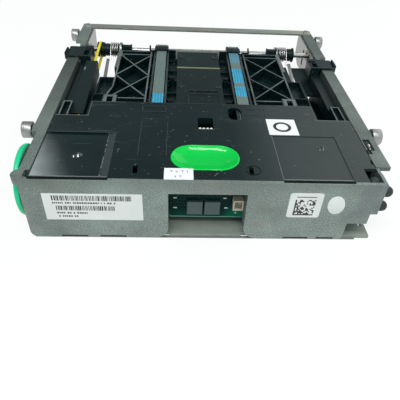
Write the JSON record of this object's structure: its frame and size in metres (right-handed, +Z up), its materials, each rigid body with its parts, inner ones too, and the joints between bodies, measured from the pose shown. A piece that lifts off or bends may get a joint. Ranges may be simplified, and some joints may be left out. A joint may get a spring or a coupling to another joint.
{
  "type": "banknote transport carriage",
  "caption": "Banknote transport carriage of a cash machine: grey frame on side rollers, belts under a black lift-up guide with a green finger pad, green hand wheel on the left.",
  "frame": {"origin": "centre of the part's footprint, on the floor it stands on", "axes": "+X to the right seen from the front, +Y from the front beam to the rear tie strip, +Z up"},
  "size_m": [0.298, 0.306, 0.06],
  "materials": {
    "cast_frame": "satin",
    "zinc_sheet": "satin",
    "base_sheet": "matte",
    "bright_steel": "polished",
    "black_plastic": "gloss",
    "board_green": "satin",
    "sensor_grey": "satin",
    "cream_plastic": "satin",
    "rubber": "matte",
    "bronze": "satin",
    "cord_yellow": "satin",
    "motor_can": "satin",
    "pad_green": "gloss",
    "wheel_green": "satin",
    "amber_plastic": "gloss",
    "belt_grey": "matte",
    "white_plastic": "satin",
    "pinion_brass": "satin"
  },
  "bodies": {
    "frame": {"front_beam": "cast_frame", "left_rail": "cast_frame", "right_rail": "cast_frame", "left_rear_arm": "cast_frame", "right_rear_arm": "cast_frame", "left_side_plate": "zinc_sheet", "right_side_plate": "zinc_sheet", "rear_tie_strip": "zinc_sheet", "left_end_block": "black_plastic", "right_end_block": "black_plastic", "base_plate": "base_sheet", "left_side_member": "black_plastic", "right_side_member": "black_plastic", "lower_guide": "black_plastic", "sensor_board": "board_green", "board_sensors": "sensor_grey", "board_connector": "cream_plastic", "side_buffers": "rubber", "roller_axles": "bright_steel", "frame_screws": "bright_steel", "shaft_bushes": "bronze", "drive_cord": "cord_yellow", "left_torsion_spring": "bright_steel", "right_torsion_spring": "bright_steel", "spring_anchors": "zinc_sheet", "drive_motor": "motor_can"},
    "upper_guide": {"top_guide": "black_plastic", "finger_pad": "pad_green", "left_rib_panel": "black_plastic", "right_rib_panel": "black_plastic", "left_belt_guide": "black_plastic", "right_belt_guide": "black_plastic", "centre_plate": "black_plastic", "light_guide": "amber_plastic", "left_belt": "belt_grey", "right_belt": "belt_grey", "left_hinge_strap": "zinc_sheet", "right_hinge_strap": "zinc_sheet", "guide_screws": "bright_steel", "static_strip": "zinc_sheet", "window_pins": "white_plastic"},
    "wheel_train": {"hand_wheel": "wheel_green", "wheel_shaft": "bright_steel", "wheel_gear": "white_plastic"},
    "layshaft": {"lay_shaft": "bright_steel", "lay_gear": "white_plastic", "lay_pulley": "black_plastic"},
    "pinion": {"motor_pinion": "pinion_brass"},
    "drive_line": {"drive_shaft": "bright_steel", "drive_pulleys": "rubber", "cord_pulley": "black_plastic", "shaft_sleeve": "black_plastic"},
    "front_line": {"front_shaft": "bright_steel", "front_pulleys": "rubber"},
    "front_idler_line": {"front_idler": "rubber"},
    "rear_idler_line": {"rear_idler": "rubber"},
    "front_left_wheel": {"front_left_roller": "bright_steel"},
    "front_right_wheel": {"front_right_roller": "bright_steel"},
    "rear_left_wheel": {"rear_left_roller": "bright_steel"},
    "rear_right_wheel": {"rear_right_roller": "bright_steel"}
  },
  "joints": [
    {"name": "upper_lift", "type": "hinge", "parent": "frame", "child": "upper_guide", "pos_m": [0, 0.094, 0.0485], "axis": [-1, 0, 0], "range_deg": [0, 65]},
    {"name": "wheel_turn", "type": "hinge", "parent": "frame", "child": "wheel_train", "pos_m": [0, -0.1205, 0.0305], "axis": [1, 0, 0], "continuous": true},
    {"name": "lay_turn", "type": "hinge", "parent": "frame", "child": "layshaft", "pos_m": [0, -0.0907, 0.034], "axis": [1, 0, 0], "continuous": true},
    {"name": "pinion_turn", "type": "hinge", "parent": "frame", "child": "pinion", "pos_m": [0, -0.10303, 0.01404], "axis": [1, 0, 0], "continuous": true},
    {"name": "drive_turn", "type": "hinge", "parent": "frame", "child": "drive_line", "pos_m": [0, 0.094, 0.0485], "axis": [1, 0, 0], "continuous": true},
    {"name": "front_pulley_turn", "type": "hinge", "parent": "upper_guide", "child": "front_line", "pos_m": [0, -0.078, 0.0462], "axis": [1, 0, 0], "continuous": true},
    {"name": "front_idler_turn", "type": "hinge", "parent": "frame", "child": "front_idler_line", "pos_m": [0, -0.048, 0.03044], "axis": [1, 0, 0], "continuous": true},
    {"name": "rear_idler_turn", "type": "hinge", "parent": "frame", "child": "rear_idler_line", "pos_m": [0, 0.06, 0.03094], "axis": [1, 0, 0], "continuous": true},
    {"name": "front_left_roll", "type": "hinge", "parent": "frame", "child": "front_left_wheel", "pos_m": [-0.145, -0.081, 0.051], "axis": [1, 0, 0], "continuous": true},
    {"name": "front_right_roll", "type": "hinge", "parent": "frame", "child": "front_right_wheel", "pos_m": [0.145, -0.081, 0.051], "axis": [1, 0, 0], "continuous": true},
    {"name": "rear_left_roll", "type": "hinge", "parent": "frame", "child": "rear_left_wheel", "pos_m": [-0.145, 0.128, 0.051], "axis": [1, 0, 0], "continuous": true},
    {"name": "rear_right_roll", "type": "hinge", "parent": "frame", "child": "rear_right_wheel", "pos_m": [0.145, 0.128, 0.051], "axis": [1, 0, 0], "continuous": true}
  ],
  "couplings": [
    {"joint": "lay_turn", "follows": "wheel_turn", "ratio": -1.5},
    {"joint": "pinion_turn", "follows": "wheel_turn", "ratio": -3},
    {"joint": "drive_turn", "follows": "wheel_turn", "ratio": -1.5},
    {"joint": "front_pulley_turn", "follows": "wheel_turn", "ratio": -2},
    {"joint": "front_idler_turn", "follows": "wheel_turn", "ratio": 0.9},
    {"joint": "rear_idler_turn", "follows": "wheel_turn", "ratio": 0.9}
  ]
}
